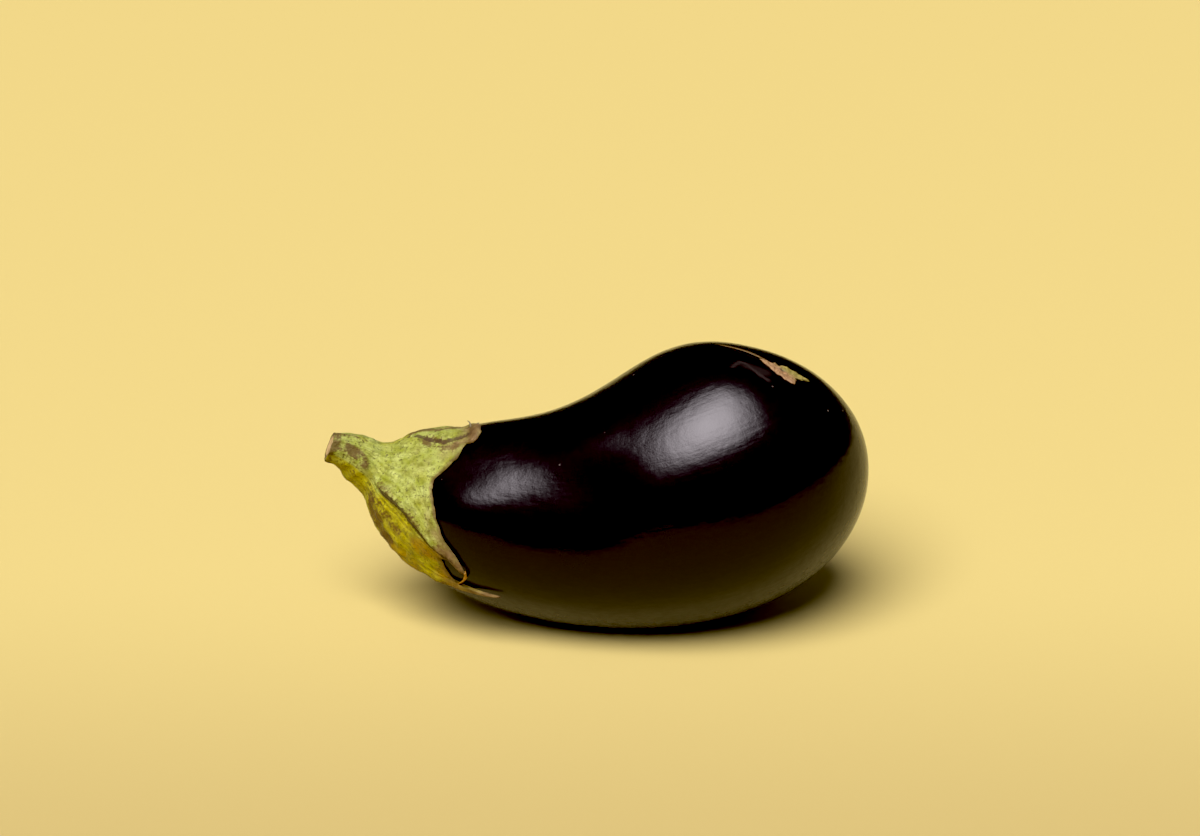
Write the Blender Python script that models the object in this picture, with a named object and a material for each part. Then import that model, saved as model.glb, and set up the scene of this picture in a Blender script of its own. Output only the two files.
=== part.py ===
"""An eggplant lying on its side: the glossy fruit, and the green stalk whose calyx clasps its neck.

Metres, +Z up. X runs from the cut stalk to the blossom end. The origin is the middle of the
footprint, on the surface that the fruit rests on.
"""

import math

import bmesh
import bpy
import numpy as np

MM = 0.001
# How far over the skin the calyx lies, in millimetres, so that the two solids never touch.
GAP = 0.4

# Fruit, in millimetres: the core line runs through the neck and the bulb, from the stem end to the
# blossom end, and the girth is the radius about it. Both are smooth curves with these control values.
CORE = (
    (-74.0, -12.79, 52.04),
    (-33.2, -14.9, 36.34),
    (-6.3, -23.72, 28.93),
    (50.7, -23.37, 49.01),
    (79.2, 11.06, 69.79),
)
GIRTH = (32.7, 46.5, 20.6, 47.7, 55.1, 76.0)
FRUIT_RINGS = 40
FRUIT_SIDES = 56
# Angles round the core line are measured from the fruit's ridge, which leans 17 degrees to the front.
RIDGE = (0.0, -math.sin(math.radians(17)), math.cos(math.radians(17)))
POLE = 0.02
SLOPE_STEP = 1e-4

# The blossom scar: a place on the skin (its angles along and around), and the shallow dip about it.
SCAR_ALONG = 2.53
SCAR_AROUND = 12
SCAR_DIP = 0.8
SCAR_SPREAD = 11.0

# Stalk, in millimetres: its cut end and the bend of its centre line, from the foot on the fruit, and
# how far along from the cut end each radius is.
STALK_END = (-17.3, -5.07, 12.46)
STALK_BEND = (-8.0, -1.73, 9.09)
STALK_RADII = ((0.0, 5.2), (1.3, 5.7), (4.5, 6.3), (9.0, 7.2), (12.5, 8.5))
STALK_RIBS = 5
RIB_HEIGHT = 0.05

# Sepals round the neck, from the ridge towards the front: the angle where the rib starts, the angle of
# its tip, how far the tip reaches along the skin, and how far it lifts off it in millimetres.
SEPALS = (
    (-2, 2, 0.92, 2.5),
    (62, 97, 1.02, 0.3),
    (120, 106, 1.19, 0.3),
    (178, 174, 1.00, 0.8),
    (236, 243, 1.04, 0.8),
    (294, 286, 0.92, 0.5),
)
# The round bay after each sepal: its angle at the root and at the margin, and its reach.
BAYS = (
    (36, 36, 0.695),
    (84, 95, 0.874),
    (150, 150, 0.70),
    (208, 209, 0.68),
    (270, 270, 0.72),
    (336, 336, 0.666),
)
# How hollow the two margins of each sepal are: 1 is straight, more is drawn out to a thin tip.
MARGINS = ((1.3, 0.9), (1.35, 1.5), (2.6, 1.9), (1.4, 1.4), (1.4, 1.4), (1.4, 2.4))
HALF_STEPS = 6
SKIN_RINGS = 9
# Along the skin: where the stalk's flare meets it, where the sepals start to lean, and the two rings
# of the underside between the flare and the stalk's foot.
FLARE_END = 0.36
SWAY_START = 0.40
UNDER_RINGS = (0.24, 0.12)
# The flare's arc runs this far straight on from either end, as a share of its span.
FLARE_REACH = 0.4
FLARE_STEPS = (0.25, 0.5, 0.75)
# Thickness at the sepals' roots and margins in millimetres, and how fast it falls between them.
ROOT_THICKNESS = 3.4
MARGIN_THICKNESS = 0.9
THINNING = 0.8
# The rib along each sepal: its height in millimetres, how narrow it is, and how much of it is lost
# by the tip. The tips lift off the skin over their last part alone.
RIB_RISE = 1.3
RIB_NARROWNESS = 4
RIB_LOSS = 0.7
TIP_NARROWNESS = 4
LIFT_LATENESS = 3

SKIN_COLOUR = (0.012, 0.004, 0.010)
SKIN_ROUGHNESS = 0.22
CALYX_COLOUR = (0.46, 0.52, 0.16)
CALYX_ROUGHNESS = 0.55


def smooth_curve(t, values):
    """The Bernstein curve through control values, at each place t from 0 to 1."""
    n = len(values) - 1
    terms = [math.comb(n, k) * t**k * (1 - t) ** (n - k) * np.array(v) for k, v in enumerate(values)]
    return sum(terms)


def unit(v):
    return v / np.linalg.norm(v, axis=-1, keepdims=True)


def cross_frame(along):
    """The two directions across a line: to its side, and to the ridge."""
    side = unit(np.cross(along, RIDGE))
    return side, np.cross(side, along)


def skin(u, around):
    """Points of the fruit's skin: u runs from 0 at the stem end to pi, around from ridge to front."""
    t = (1 - np.cos(u)) / 2
    core = smooth_curve(t[..., None], CORE)
    slopes = np.diff(np.array(CORE), axis=0)
    side, top = cross_frame(unit(smooth_curve(t[..., None], slopes)))
    radius = (smooth_curve(t, GIRTH) * np.sin(u))[..., None]
    return core + radius * (top * np.cos(around)[..., None] + side * np.sin(around)[..., None])


def skin_slopes(u, around):
    """How the skin runs along u, and its outward normal."""
    u = np.clip(u, POLE, math.pi - POLE)
    along = skin(u + SLOPE_STEP, around) - skin(u - SLOPE_STEP, around)
    across = skin(u, around + SLOPE_STEP) - skin(u, around - SLOPE_STEP)
    return unit(along), unit(np.cross(across, along))


def raised(u, around, height):
    """A point at a height over the skin, in millimetres."""
    normal = skin_slopes(u, around)[1]
    return skin(u, around) + normal * np.asarray(height)[..., None]


def ring_solid(name, start, rings, end, colour, roughness):
    """One closed solid: a stack of rings, with a point that closes it at each end."""
    count = len(rings[0])
    points = [start, *np.concatenate(rings), end]
    last = len(points) - 1
    faces = []
    for j in range(count):
        k = (j + 1) % count
        faces.append((0, 1 + k, 1 + j))
        for i in range(len(rings) - 1):
            low = 1 + i * count
            faces.append((low + j, low + k, low + count + k, low + count + j))
        low = 1 + (len(rings) - 1) * count
        faces.append((low + j, low + k, last))
    mesh = bpy.data.meshes.new(name)
    mesh.from_pydata([tuple(p * MM) for p in points], [], faces)
    mesh.materials.append(principled(name, colour, roughness))
    mesh.shade_smooth()
    piece = bpy.data.objects.new(name, mesh)
    bpy.context.collection.objects.link(piece)
    return piece


def principled(name, colour, roughness):
    material = bpy.data.materials.new(name)
    material.use_nodes = True
    shader = material.node_tree.nodes["Principled BSDF"]
    shader.inputs["Base Color"].default_value = (*colour, 1)
    shader.inputs["Roughness"].default_value = roughness
    shader.inputs["Metallic"].default_value = 0
    return material


def dipped(points):
    """Points of the skin, sunk a little about the blossom scar."""
    place = (np.array(SCAR_ALONG), np.radians(SCAR_AROUND))
    centre = skin(*place)
    inward = -skin_slopes(*place)[1]
    away = np.linalg.norm(points - centre, axis=-1, keepdims=True) / SCAR_SPREAD
    return points + inward * SCAR_DIP * np.exp(-(away**2))


def make_fruit():
    """The fruit, one smooth solid with a small flat where it rests."""
    around = np.linspace(0, 2 * math.pi, FRUIT_SIDES, endpoint=False)
    rings = []
    for u in np.linspace(0, math.pi, FRUIT_RINGS + 1)[1:-1]:
        rings.append(dipped(skin(np.full_like(around, u), around)))
    stem_end, blossom_end = np.array(CORE[0]), np.array(CORE[-1])
    fruit = ring_solid("fruit", stem_end, rings, blossom_end, SKIN_COLOUR, SKIN_ROUGHNESS)
    flatten_rest(fruit)
    return fruit


def flatten_rest(fruit):
    """Flattens the lowest part of the skin on the surface at z = 0."""
    shape = bmesh.new()
    shape.from_mesh(fruit.data)
    everything = [*shape.verts, *shape.edges, *shape.faces]
    level = {"plane_co": (0, 0, 0), "plane_no": (0, 0, -1)}
    cut = bmesh.ops.bisect_plane(shape, geom=everything, clear_outer=True, **level)
    rim = [part for part in cut["geom_cut"] if isinstance(part, bmesh.types.BMEdge)]
    bmesh.ops.contextual_create(shape, geom=rim)
    shape.to_mesh(fruit.data)
    shape.free()


def sepal_columns():
    """One column for each line down the calyx: (root angle, margin angle, reach, lift, rib share)."""
    columns = []
    for i, (root, tip, reach, lift) in enumerate(SEPALS):
        turn = -360 if i == 0 else 0
        before = BAYS[i - 1][0] + turn, BAYS[i - 1][1] + turn, BAYS[i - 1][2]
        for (bay_root, bay_edge, bay_reach), hollow, steps in (
            (before, MARGINS[i][0], range(HALF_STEPS)),
            (BAYS[i], MARGINS[i][1], range(HALF_STEPS, 0, -1)),
        ):
            for step in steps:
                f = step / HALF_STEPS
                angles = bay_root + (root - bay_root) * f, bay_edge + (tip - bay_edge) * f
                edge = bay_reach + (reach - bay_reach) * f**hollow
                columns.append((*angles, edge, lift * f**TIP_NARROWNESS, f))
    return np.array(columns).T


def stalk_line():
    """The stalk's centre line, from the cut end down to the fruit, as three control points."""
    foot = np.array(CORE[0])
    return foot + np.array(STALK_END), foot + np.array(STALK_BEND), foot


def stalk_ring(distance, radius, around):
    """A ribbed ring round the stalk, at a distance from its cut end."""
    line = stalk_line()
    length = np.linalg.norm(line[2] - line[0])
    t = distance / length
    centre = smooth_curve(t, line)
    inward = unit(smooth_curve(t, np.diff(np.array(line), axis=0)))
    side, top = cross_frame(inward)
    ribbed = radius * (1 + RIB_HEIGHT * np.cos(STALK_RIBS * around))[:, None]
    return centre + ribbed * (top * np.cos(around)[:, None] + side * np.sin(around)[:, None]), inward


def make_calyx():
    """The stalk and its calyx, grown as one: a ribbed stalk that flares into six pointed sepals."""
    root, edge, reach, lift, rib = sepal_columns()
    root, edge = np.radians(root), np.radians(edge)

    def sepal_line(share):
        """The place on the skin of each column, at a share of the way out to its margin."""
        u = FLARE_END + (reach - FLARE_END) * share
        sway = np.clip((u - SWAY_START) / (reach - SWAY_START), 0, 1) ** 2
        return u, root + (edge - root) * sway

    def under(share):
        return GAP + lift * share**LIFT_LATENESS

    def outer(share):
        thick = MARGIN_THICKNESS + (ROOT_THICKNESS - MARGIN_THICKNESS) * (1 - share) ** THINNING
        crest = RIB_RISE * rib**RIB_NARROWNESS * (1 - RIB_LOSS * share)
        return raised(*sepal_line(share), under(share) + thick + crest)

    rings = [stalk_ring(distance, radius, root)[0] for distance, radius in STALK_RADII]
    top_ring, inward = stalk_ring(*STALK_RADII[-1], root)
    cap_ring = outer(0.0)
    outward = skin_slopes(*sepal_line(0.0))[0]
    straight = FLARE_REACH * np.linalg.norm(cap_ring - top_ring, axis=-1, keepdims=True)
    flare = top_ring, top_ring + inward * straight, cap_ring - outward * straight, cap_ring
    rings += [smooth_curve(t, flare) for t in FLARE_STEPS]
    rings += [outer(share) for share in np.linspace(0, 1, SKIN_RINGS)]
    for share in np.linspace(1, 0, SKIN_RINGS):
        rings.append(raised(*sepal_line(share), under(share)))
    for u in UNDER_RINGS:
        rings.append(raised(np.full_like(root, u), root, np.full_like(root, GAP)))
    cut_centre, _, foot = stalk_line()
    last = foot - unit(np.array(CORE[1]) - foot) * GAP
    return ring_solid("stalk_calyx", cut_centre, rings, last, CALYX_COLOUR, CALYX_ROUGHNESS)


def centre_on_footprint(pieces):
    """Moves the meshes so that the middle of the whole footprint is at the origin."""
    points = np.array([point.co for piece in pieces for point in piece.data.vertices])
    middle = (points.min(axis=0) + points.max(axis=0)) / 2
    for piece in pieces:
        for point in piece.data.vertices:
            point.co.x -= middle[0]
            point.co.y -= middle[1]


def main():
    for old in list(bpy.data.objects):
        bpy.data.objects.remove(old, do_unlink=True)
    centre_on_footprint([make_fruit(), make_calyx()])


main()
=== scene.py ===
"""The looks of an eggplant that lies on its side: glossy skin, and a felted green calyx round its neck.

Shapes are worked out in millimetres on the fruit's own smooth skin, then seated in the frame.
"""

import math

import bpy
import numpy as np
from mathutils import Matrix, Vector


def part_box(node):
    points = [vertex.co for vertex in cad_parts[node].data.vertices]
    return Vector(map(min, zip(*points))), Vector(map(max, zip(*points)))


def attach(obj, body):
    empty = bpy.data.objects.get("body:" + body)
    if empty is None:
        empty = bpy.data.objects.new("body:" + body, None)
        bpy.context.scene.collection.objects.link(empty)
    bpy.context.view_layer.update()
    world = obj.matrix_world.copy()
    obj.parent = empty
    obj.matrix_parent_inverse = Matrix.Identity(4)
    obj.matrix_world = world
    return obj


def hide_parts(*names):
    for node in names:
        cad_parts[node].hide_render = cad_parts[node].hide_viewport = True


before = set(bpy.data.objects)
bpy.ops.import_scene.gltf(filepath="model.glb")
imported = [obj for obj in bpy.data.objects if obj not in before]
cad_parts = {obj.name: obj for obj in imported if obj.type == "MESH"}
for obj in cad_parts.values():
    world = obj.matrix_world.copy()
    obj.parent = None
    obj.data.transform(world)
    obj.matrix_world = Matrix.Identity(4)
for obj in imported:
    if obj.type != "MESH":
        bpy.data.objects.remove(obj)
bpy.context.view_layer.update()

MM = 0.001
TURN = 2 * math.pi

# The fruit's curves, as in the solid: the core line, and the girth about it.
CORE = (
    (-74.0, -12.79, 52.04),
    (-33.2, -14.9, 36.34),
    (-6.3, -23.72, 28.93),
    (50.7, -23.37, 49.01),
    (79.2, 11.06, 69.79),
)
GIRTH = (32.7, 46.5, 20.6, 47.7, 55.1, 76.0)
# Angles round the core line are measured from the fruit's ridge, which leans 17 degrees to the front.
RIDGE = (0.0, -math.sin(math.radians(17)), math.cos(math.radians(17)))
POLE = 0.02
SLOPE_STEP = 1e-4
SCAR_ALONG = 2.53
SCAR_AROUND = 12
SCAR_DIP = 0.8
SCAR_SPREAD = 11.0
FRUIT_RINGS = 270
FRUIT_SIDES = 320
# Gentle hills and hollows of the skin: place along and around, height in mm, and its half length and
# half width in mm.
SWELLS = (
    (0.86, 36, -1.5, 11.5, 11.5),
    (0.86, 56, 2.2, 11.5, 11.5),
    (1.04, 16, -0.3, 11.5, 11.5),
    (1.04, 56, 0.8, 11.5, 11.5),
    (1.22, 16, -0.55, 11.5, 11.5),
    (1.22, 36, -0.3, 11.5, 11.5),
    (1.22, 56, -0.3, 11.5, 11.5),
    (1.40, 36, -0.9, 11.5, 11.5),
    (1.40, 56, -0.4, 11.5, 11.5),
    (1.58, 16, 0.8, 11.5, 11.5),
    (1.58, 36, -1.6, 11.5, 11.5),
    (1.58, 56, -0.8, 11.5, 11.5),
    (1.80, 8, 0.4, 14, 14),
    (1.80, 24, -0.4, 16, 16),
    (1.80, 44, 1.2, 16, 16),
    (2.02, 24, 0.6, 16, 16),
    (2.02, 44, 0.75, 16, 16),
    (2.24, 10, 0.7, 13, 13),
    (2.24, 44, 0.6, 16, 16),
    (2.48, 352, -1.0, 10, 10),
)

# The stalk: its cut end and bend from the foot, and each radius with its distance from the cut.
STALK_END = (-17.3, -5.07, 12.46)
STALK_BEND = (-8.0, -1.73, 9.09)
STALK_RADII = ((0.0, 4.9), (1.3, 5.3), (4.5, 5.9), (9.0, 7.0), (12.5, 8.5))
# Its ribs and the finer ripples between them, each with its swell as a share of the radius.
STALK_RIBS = 5
RIB_SWELL = 0.04
STALK_RIPPLES = 9
RIPPLE_SWELL = 0.02
# The cut slants: its front edge stands out by this share, and the slant dies away in this many mm.
CUT_SLANT = 0.24
CUT_FADE = 6.0
STALK_RINGS = 34
STALK_START = 0.6
# The pith: its share of the stalk's radius, and the depths of its face and its back in mm.
PITH_SHARE = 0.82
PITH_FACE = 0.45
PITH_BACK = 1.4
PITH_SIDES = 72
# The cut end's bark: rings from the pith outwards, as shares of its radius, and their depths in mm.
STALK_LIP = ((0.3, 1.0), (0.72, 0.9), (0.82, 0.46), (0.90, 0.34), (0.96, 0.34), (1.0, 0.38), (1.02, 0.5))

# The bays between sepals, from the one before the top sepal towards the front: root angle, and where
# the bay lies along and around the skin.
BAYS = (
    (-24, 0.666, -24),
    (36, 0.690, 37),
    (84, 0.884, 94),
    (150, 0.70, 150),
    (208, 0.68, 209),
    (270, 0.72, 270),
)
# Each sepal after its bay: root angle of its rib, how late the rib leans to the tip, how far the tip
# lifts in mm, how far it reaches, the angle of the tip, and its two margins from the bays to the tip.
SEPALS = (
    (
        -8,
        1.2,
        1.2,
        (0.932, -3),
        ((0.685, -23), (0.72, -16), (0.785, -9), (0.82, -11), (0.87, -15), (0.905, -12)),
        ((0.724, 30), (0.759, 25), (0.798, 17), (0.830, 9.5), (0.852, 6), (0.889, 6.5), (0.920, 3)),
    ),
    (
        65,
        1.5,
        0.4,
        (1.030, 96),
        ((0.704, 46), (0.774, 59), (0.837, 70), (0.899, 78), (0.956, 84), (1.002, 90)),
        ((0.916, 91.5), (0.949, 91), (0.984, 92.5), (1.012, 94.5)),
    ),
    (
        120,
        2.0,
        0.5,
        (1.190, 105),
        ((0.912, 98), (0.932, 102), (0.957, 106), (0.980, 109), (1.006, 110), (1.054, 108.3), (1.11, 106.6)),
        ((0.72, 143), (0.78, 133), (0.87, 124), (0.98, 115.5), (1.07, 110.8), (1.13, 107.8)),
    ),
    (
        178,
        2.0,
        0.9,
        (1.00, 174),
        ((0.715, 159), (0.79, 167), (0.89, 172)),
        ((0.71, 196), (0.80, 183), (0.90, 177)),
    ),
    (
        236,
        2.0,
        0.9,
        (1.04, 243),
        ((0.70, 222), (0.79, 234), (0.91, 241)),
        ((0.75, 259), (0.84, 250), (0.95, 245)),
    ),
    (
        294,
        2.0,
        0.7,
        (0.92, 286),
        ((0.74, 278), (0.80, 283), (0.86, 285)),
        ((0.68, 323), (0.72, 308), (0.80, 295)),
    ),
)
# Folds and ridges of the leaf: a line of places along and around, its width and its height in mm.
TOP_FOLD = ((0.40, 336), (0.49, 352), (0.59, 359), (0.70, 3), (0.785, 0), (0.84, -3))
FRONT_RIDGE = (
    (0.37, 67),
    (0.52, 69),
    (0.60, 70),
    (0.67, 75),
    (0.74, 79),
    (0.82, 83),
    (0.87, 85),
    (0.95, 87),
    (1.0, 91),
)
LEAF_LINES = ((TOP_FOLD, 1.3, -0.55), (FRONT_RIDGE, 1.5, 0.6))
# Humps of the leaf: place along and around, height, half length and half width in mm.
LEAF_HUMPS = ((0.56, 337, 1.1, 7, 7), (0.55, 108, 0.7, 11, 9), (0.60, 45, -0.4, 6, 6))
# Random lumps of each surface, coarse and fine: height and size in mm, and a seed.
SKIN_LUMPS = ((0.03, 14, 3), (0.012, 5, 4))
LEAF_LUMPS = ((0.24, 5, 13), (0.13, 2, 14), (0.05, 1.0, 22))
FLARE_LUMPS = ((0.20, 3.5, 17), (0.08, 1.5, 24))
PITH_LUMPS = ((0.05, 0.7, 31), (0.10, 2.2, 32))
CORK_LUMPS = ((0.10, 1.3, 42), (0.05, 0.6, 43))
# The leaf's fineness: steps along half a sepal's margin, and rings from the stalk out and back under.
HALF_STEPS = 30
LEAF_RINGS = 84
FLARE_RINGS = 14
UNDER_RINGS = 26
MARGIN_PER_ALONG = 45
MARGIN_PER_DEGREE = 0.42
FLARE_END = 0.36
SWAY_START = 0.40
FLARE_REACH = 0.4
ROOT_THICKNESS = 3.4
MARGIN_THICKNESS = 0.55
THINNING = 0.8
RIB_RISE = 1.3
LEAF_GAP = 0.12
# How ragged the margin is along the skin, and in mm: how far it curls off the skin, how far the top
# sepal's lip curls, and how high the veins stand.
MARGIN_RAGGED = 0.003
MARGIN_CURL = 0.25
TOP_LIP_CURL = 1.3
VEIN_RISE = 0.16
VEINS = 3.5
# Where the leaf's underside ends inside the cup, along the skin.
CUP_RINGS = (0.24, 0.12)


def smooth_curve(t, values):
    """The Bernstein curve through control values, at each place t from 0 to 1."""
    n = len(values) - 1
    terms = [math.comb(n, k) * t**k * (1 - t) ** (n - k) * np.array(v) for k, v in enumerate(values)]
    return sum(terms)


def unit(v):
    return v / np.linalg.norm(v, axis=-1, keepdims=True)


def cross_frame(along):
    """The two directions across a line: to its side, and to the ridge."""
    side = unit(np.cross(along, RIDGE))
    return side, np.cross(side, along)


def skin(u, around):
    """Points of the skin: u runs from 0 at the stem end to pi, around from ridge to front."""
    t = (1 - np.cos(u)) / 2
    core = smooth_curve(t[..., None], CORE)
    slopes = np.diff(np.array(CORE), axis=0)
    side, top = cross_frame(unit(smooth_curve(t[..., None], slopes)))
    radius = (smooth_curve(t, GIRTH) * np.sin(u))[..., None]
    return core + radius * (top * np.cos(around)[..., None] + side * np.sin(around)[..., None])


def skin_slopes(u, around):
    """How the skin runs along u, and its outward normal."""
    u = np.clip(u, POLE, math.pi - POLE)
    along = skin(u + SLOPE_STEP, around) - skin(u - SLOPE_STEP, around)
    across = skin(u, around + SLOPE_STEP) - skin(u, around - SLOPE_STEP)
    return unit(along), unit(np.cross(across, along))


def dipped(points):
    """Points of the skin, sunk a little about the blossom scar."""
    place = (np.array(SCAR_ALONG), np.radians(SCAR_AROUND))
    away = np.linalg.norm(points - skin(*place), axis=-1, keepdims=True) / SCAR_SPREAD
    return points - skin_slopes(*place)[1] * SCAR_DIP * np.exp(-(away**2))


def over_skin(u, around, height):
    """A point at a height over the skin, in millimetres."""
    u, around, height = np.broadcast_arrays(u, around, height)
    stand = height + swollen(u, around)
    return dipped(skin(u, around)) + skin_slopes(u, around)[1] * stand[..., None]


def ramp(value, low, high):
    """0 below low, 1 above high, and a smooth rise between them."""
    share = np.clip((value - low) / (high - low), 0, 1)
    return share * share * (3 - 2 * share)


def wander(points, size, seed, waves=16):
    """A smooth random field over points, of about unit height, whose hills are about that size."""
    chance = np.random.default_rng(seed)
    total = 0
    for _ in range(waves):
        way = unit(chance.normal(size=3)) * math.pi / (size * chance.uniform(0.7, 1.5))
        total = total + np.sin(points @ way + chance.uniform(0, TURN))
    return total * math.sqrt(2 / waves)


def lumpy(points, layers):
    """Random lumps over points, in millimetres."""
    return sum(height * wander(points, size, seed) for height, size, seed in layers)


def hills(points, spots):
    """Hills and hollows over points of the skin, in millimetres."""
    total = np.zeros(points.shape[:-1])
    for u, around, height, length, width in spots:
        place = np.array(float(u)), np.radians(around)
        along, normal = skin_slopes(*place)
        offset = points - skin(*place)
        share = (offset @ along / length) ** 2 + (offset @ np.cross(normal, along) / width) ** 2
        share = share + (offset @ normal / (2 * width)) ** 2
        total = total + height * np.exp(-share)
    return total


def swollen(u, around):
    """How far the skin stands out over the plain curves, in millimetres."""
    return hills(skin(u, around), SWELLS)


def fruit_points():
    """Rings of the fruit's skin, in millimetres, with its two ends."""
    u = np.linspace(0, math.pi, FRUIT_RINGS + 2)[1:-1, None]
    around = np.linspace(0, TURN, FRUIT_SIDES, endpoint=False)[None, :]
    u, around = np.broadcast_arrays(u, around)
    rings = dipped(skin(u, around))
    swell = swollen(u, around) + lumpy(rings, SKIN_LUMPS)
    rings = rings + skin_slopes(u, around)[1] * swell[..., None]
    return u, around, rings


def fit_to_solid(rings):
    """The stretch and shift that give the fine skin the same box as the solid."""
    low, high = (np.array(corner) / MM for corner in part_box("fruit"))
    points = rings.reshape(-1, 3)
    first, last = points.min(axis=0), points.max(axis=0)
    first[2] = 0
    stretch = (high - low) / (last - first)
    return stretch, low - first * stretch


FRUIT_ALONG, FRUIT_AROUND, FRUIT_SKIN = fruit_points()
STRETCH, SHIFT = fit_to_solid(FRUIT_SKIN)


def seated(points):
    """Points in millimetres on the formula's skin, in the frame's metres."""
    return (np.asarray(points) * STRETCH + SHIFT) * MM


def closed_stack(name, rings, start, end, notes):
    """A closed mesh piece: rings of points in a stack, with a point that closes each end.

    notes gives each attribute its values on the rings, of one number or three.
    """
    rows, count = rings.shape[:2]
    points = np.concatenate([[start], rings.reshape(-1, 3), [end]])
    grid = 1 + np.arange(rows * count).reshape(rows, count)
    turned = np.roll(grid, -1, axis=1)
    walls = np.stack([grid[:-1], turned[:-1], turned[1:], grid[1:]], axis=-1).reshape(-1, 4)
    first = np.stack([np.zeros(count, int), turned[0], grid[0]], axis=-1)
    last = np.stack([grid[-1], turned[-1], np.full(count, len(points) - 1)], axis=-1)
    mesh = bpy.data.meshes.new(name)
    mesh.from_pydata(seated(points).tolist(), [], [*walls.tolist(), *first.tolist(), *last.tolist()])
    for note, values in notes.items():
        values = np.asarray(values, float)
        size = 3 if values.ndim == 3 else 1
        flat = values.reshape(-1, size)
        flat = np.concatenate([flat[:count].mean(0)[None], flat, flat[-count:].mean(0)[None]])
        kind, field = ("FLOAT_VECTOR", "vector") if size == 3 else ("FLOAT", "value")
        attribute = mesh.attributes.new(note, kind, "POINT")
        attribute.data.foreach_set(field, flat.astype(np.float32).ravel())
    mesh.shade_smooth()
    piece = bpy.data.objects.new(name, mesh)
    bpy.context.scene.collection.objects.link(piece)
    return piece


def near_line(points, line, width):
    """1 on a line through given points, fading to 0 at its width on either side."""
    best = np.full(points.shape[:-1], np.inf)
    for a, b in zip(line[:-1], line[1:]):
        step = b - a
        share = np.clip(((points - a) @ step) / (step @ step), 0, 1)
        best = np.minimum(best, np.linalg.norm(points - a - share[..., None] * step, axis=-1))
    return 1 - ramp(best, 0.35 * width, width)


def make_fruit():
    """The fruit: one smooth skin, flat where it rests."""
    rings = FRUIT_SKIN.copy()
    floor_level = -SHIFT[2] / STRETCH[2]
    rings[..., 2] = np.maximum(rings[..., 2], floor_level)
    stem_end = rings[0].mean(axis=0)
    blossom_end = rings[-1].mean(axis=0)
    radius = smooth_curve((1 - np.cos(FRUIT_ALONG)) / 2, GIRTH) * np.sin(FRUIT_ALONG)
    grain = np.stack(
        [FRUIT_ALONG * 60, radius * np.cos(FRUIT_AROUND), radius * np.sin(FRUIT_AROUND)], axis=-1
    )
    streaks = np.zeros(FRUIT_ALONG.shape)
    for places, width, strength in SCUFFS:
        streaks = np.maximum(streaks, strength * near_places(rings, places, width))
    notes = {"grain": grain, "scuff": streaks}
    return closed_stack("fruit_skin", rings, stem_end, blossom_end, notes)


# Faint scuffs: places along and around, width in mm, strength.
SCUFFS = (
    (((2.30, 2.2), (2.36, -0.7), (2.375, 1.4), (2.38, 10.8), (2.393, 15.1)), 1.0, 0.8),
    (((2.37, 3), (2.42, 10)), 3.0, 0.4),
)


def stalk_ring(distance, radius, around):
    """A ribbed ring round the stalk, at a distance from its cut end, and the way the stalk runs."""
    foot = np.array(CORE[0])
    line = foot + np.array(STALK_END), foot + np.array(STALK_BEND), foot
    t = distance / np.linalg.norm(line[2] - line[0])
    inward = unit(smooth_curve(t, np.diff(np.array(line), axis=0)))
    near_cut = 1 - ramp(distance, 0.0, CUT_FADE)
    centre = smooth_curve(t, line)
    side, top = cross_frame(inward)
    ripples = RIPPLE_SWELL * np.cos(STALK_RIPPLES * around + 1.3 + 0.1 * distance)
    ribbed = radius * (1 + RIB_SWELL * np.cos(STALK_RIBS * around) + ripples)
    ring = centre + ribbed[:, None] * (top * np.cos(around)[:, None] + side * np.sin(around)[:, None])
    slant = CUT_SLANT * near_cut * ribbed * np.sin(around)
    return ring - inward * slant[:, None], inward, centre


def stalk_radius(distance):
    """The stalk's mean radius, rounded between the given ones."""
    spots, radii = np.array(STALK_RADII).T
    nearby = [np.interp(distance + shift, spots, radii) for shift in (-1.2, -0.6, 0, 0.6, 1.2)]
    return sum(nearby) / len(nearby)


def margin_line(places):
    """Places along a margin at even steps from its bay to its tip."""
    places = np.array(places, float)
    steps = np.diff(places, axis=0) * (MARGIN_PER_ALONG, MARGIN_PER_DEGREE)
    gone = np.concatenate([[0], np.cumsum(np.hypot(*steps.T))])
    shares = np.linspace(0, gone[-1], HALF_STEPS + 1)
    return np.stack([np.interp(shares, gone, column) for column in places.T], axis=-1)


def sepal_columns():
    """One column for each line down the calyx, as one array for each of its facts."""
    facts = {name: [] for name in ("root", "edge", "reach", "lift", "lean", "rib", "sepal")}
    for i, (rib_root, lean, lift, tip, first, second) in enumerate(SEPALS):
        bays = BAYS[i], BAYS[(i + 1) % len(BAYS)]
        turns = 0, 360 if i == len(SEPALS) - 1 else 0
        for (bay_root, bay_along, bay_around), turn, between, backwards in (
            (bays[0], turns[0], first, False),
            (bays[1], turns[1], second, True),
        ):
            line = margin_line([(bay_along, bay_around + turn), *between, tip])
            steps = range(HALF_STEPS, 0, -1) if backwards else range(HALF_STEPS)
            for step in steps:
                f = step / HALF_STEPS
                facts["root"].append(bay_root + turn + (rib_root - bay_root - turn) * f)
                facts["edge"].append(line[step][1])
                facts["reach"].append(line[step][0])
                facts["lift"].append(lift * f**3)
                facts["lean"].append(2 + (lean - 2) * f)
                facts["rib"].append(f)
                facts["sepal"].append(i)
    return {name: np.array(values) for name, values in facts.items()}


def near_places(base, places, width):
    """1 near a line of places along and around, fading to 0 at its width, on points of the skin."""
    return near_line(base, on_leaf(*places), width)


def leaf_relief(base):
    """Folds, ridges and humps of the leaf at points of the skin below it, in millimetres."""
    relief = 0
    for places, width, height in LEAF_LINES:
        relief = relief + height * near_places(base, places, width)
    return relief + hills(base, LEAF_HUMPS)


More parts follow.
